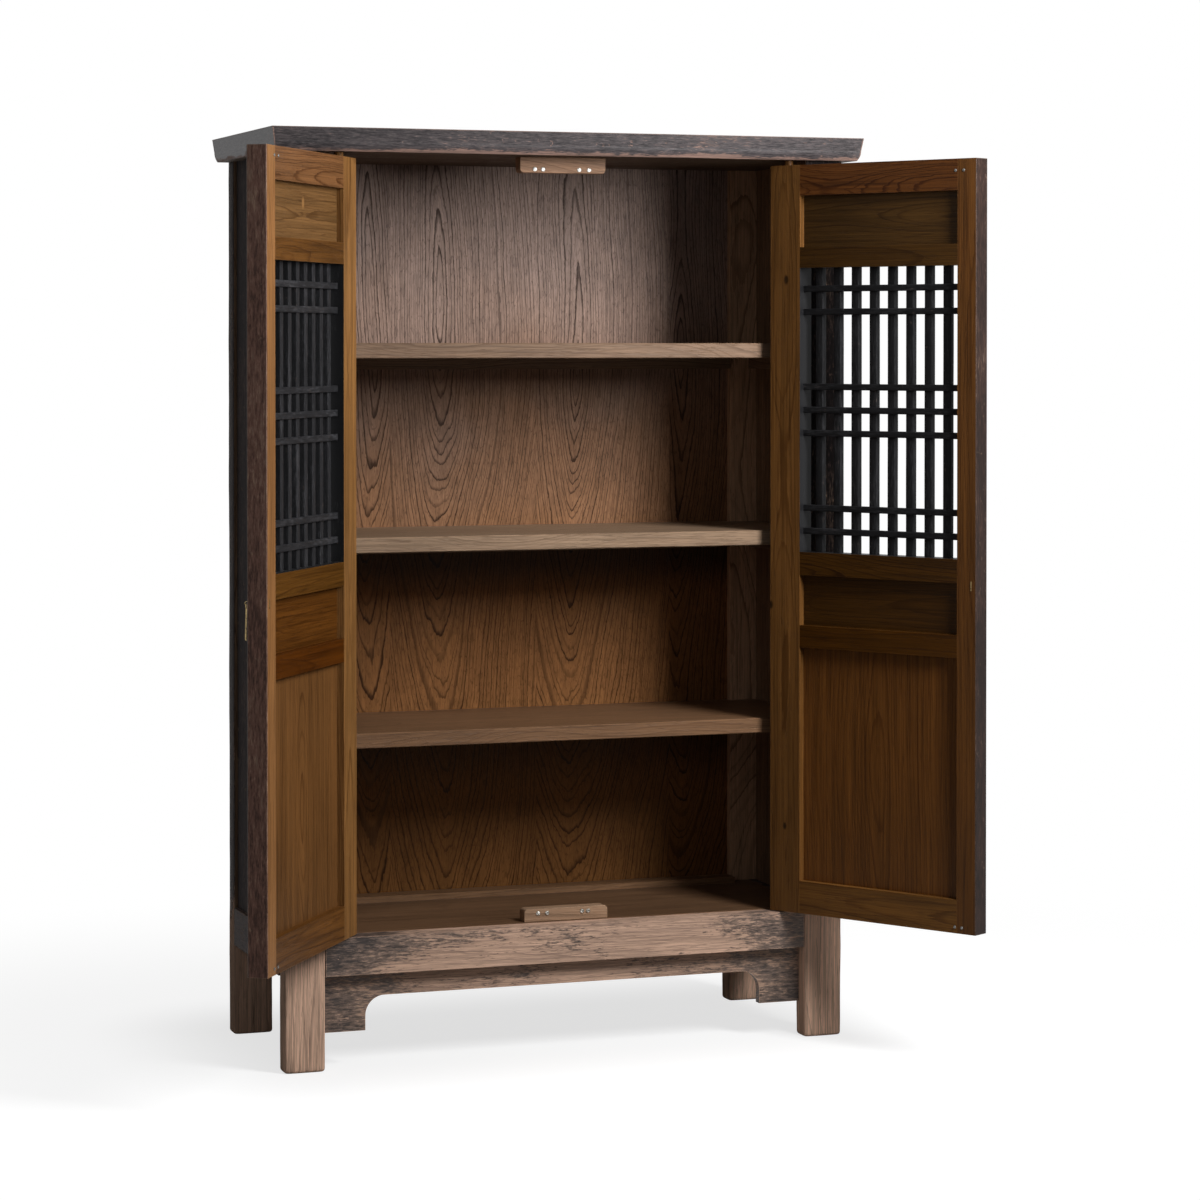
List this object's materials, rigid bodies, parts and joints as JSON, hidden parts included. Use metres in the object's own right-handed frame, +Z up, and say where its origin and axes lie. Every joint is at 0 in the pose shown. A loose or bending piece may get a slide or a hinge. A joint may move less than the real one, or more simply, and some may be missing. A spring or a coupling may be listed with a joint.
{
  "type": "book cabinet",
  "caption": "Tall east asian book cabinet on post feet with open lattice doors on wooden pivots, inner shelves, and a cusped apron.",
  "frame": {"origin": "on the floor, under the middle of the overall box of the cabinet with both doors open as stored", "axes": "+Z up; -Y is the front, the side that the doors open to; +X is to the right of someone who faces the front"},
  "size_m": [1.4548, 0.8526, 1.8],
  "materials": {
    "lacquer": "worn black-brown lacquer, satin",
    "worn_lacquer": "weathered thin lacquer, matt",
    "inner_wood": "oiled wood, satin",
    "back_wood": "aged planed wood, matt",
    "block_wood": "plain wood, matt",
    "door_wood": "honey brown oil finish, satin",
    "black_lattice": "black lacquer, satin",
    "zinc_steel": "zinc plated",
    "old_brass": "dull, darkened"
  },
  "bodies": {
    "carcass": {"post_front_left": "lacquer", "post_front_right": "lacquer", "post_rear_left": "lacquer", "post_rear_right": "lacquer", "top_front_rail": "lacquer", "top_rear_rail": "lacquer", "top_left_rail": "lacquer", "top_right_rail": "lacquer", "top_board": "lacquer", "bottom_front_rail": "worn_lacquer", "bottom_rear_rail": "lacquer", "bottom_left_rail": "lacquer", "bottom_right_rail": "lacquer", "apron": "worn_lacquer", "bottom_board": "inner_wood", "side_panel_left": "lacquer", "side_panel_right": "lacquer", "back_plank_1": "back_wood", "back_plank_2": "back_wood", "back_plank_3": "back_wood", "back_plank_4": "back_wood", "back_batten": "inner_wood", "shelf_lower": "inner_wood", "shelf_middle": "inner_wood", "shelf_upper": "inner_wood", "shelf_side_bearers": "back_wood", "shelf_rear_bearers": "back_wood", "catch_block_top": "block_wood", "catch_block_bottom": "block_wood", "catch_screws": "zinc_steel"},
    "left_door": {"left_door_hinge_stile": "door_wood", "left_door_free_stile": "door_wood", "left_door_top_rail": "door_wood", "left_door_upper_rail": "door_wood", "left_door_lock_rail": "door_wood", "left_door_lower_rail": "door_wood", "left_door_bottom_rail": "door_wood", "left_door_upper_panel": "door_wood", "left_door_middle_panel": "door_wood", "left_door_lower_panel": "door_wood", "left_door_lattice_uprights": "black_lattice", "left_door_lattice_bars": "black_lattice", "left_door_strike_screws": "zinc_steel", "left_door_pull_staple": "old_brass"},
    "left_pull": {"left_door_drop_pull": "old_brass"},
    "right_door": {"right_door_hinge_stile": "door_wood", "right_door_free_stile": "door_wood", "right_door_top_rail": "door_wood", "right_door_upper_rail": "door_wood", "right_door_lock_rail": "door_wood", "right_door_lower_rail": "door_wood", "right_door_bottom_rail": "door_wood", "right_door_upper_panel": "door_wood", "right_door_middle_panel": "door_wood", "right_door_lower_panel": "door_wood", "right_door_lattice_uprights": "black_lattice", "right_door_lattice_bars": "black_lattice", "right_door_strike_screws": "zinc_steel", "right_door_pull_staple": "old_brass"},
    "right_pull": {"right_door_drop_pull": "old_brass"}
  },
  "joints": [
    {"name": "left_door_hinge", "type": "hinge", "parent": "carcass", "child": "left_door", "pos_m": [-0.45256, -0.01556, 1], "axis": [0, 0, 1], "range_deg": [-5.5, 124.5]},
    {"name": "right_door_hinge", "type": "hinge", "parent": "carcass", "child": "right_door", "pos_m": [0.47684, -0.01556, 1], "axis": [0, 0, 1], "range_deg": [-120.8, 9.2]},
    {"name": "left_pull_swing", "type": "hinge", "parent": "left_door", "child": "left_pull", "pos_m": [-0.72323, -0.37921, 0.92469], "axis": [0.5664, 0.8241, 0], "range_deg": [-2.5, 85]},
    {"name": "right_pull_swing", "type": "hinge", "parent": "right_door", "child": "right_pull", "pos_m": [0.72349, -0.39592, 0.92469], "axis": [0.512, -0.859, 0], "range_deg": [-2.5, 85]}
  ]
}
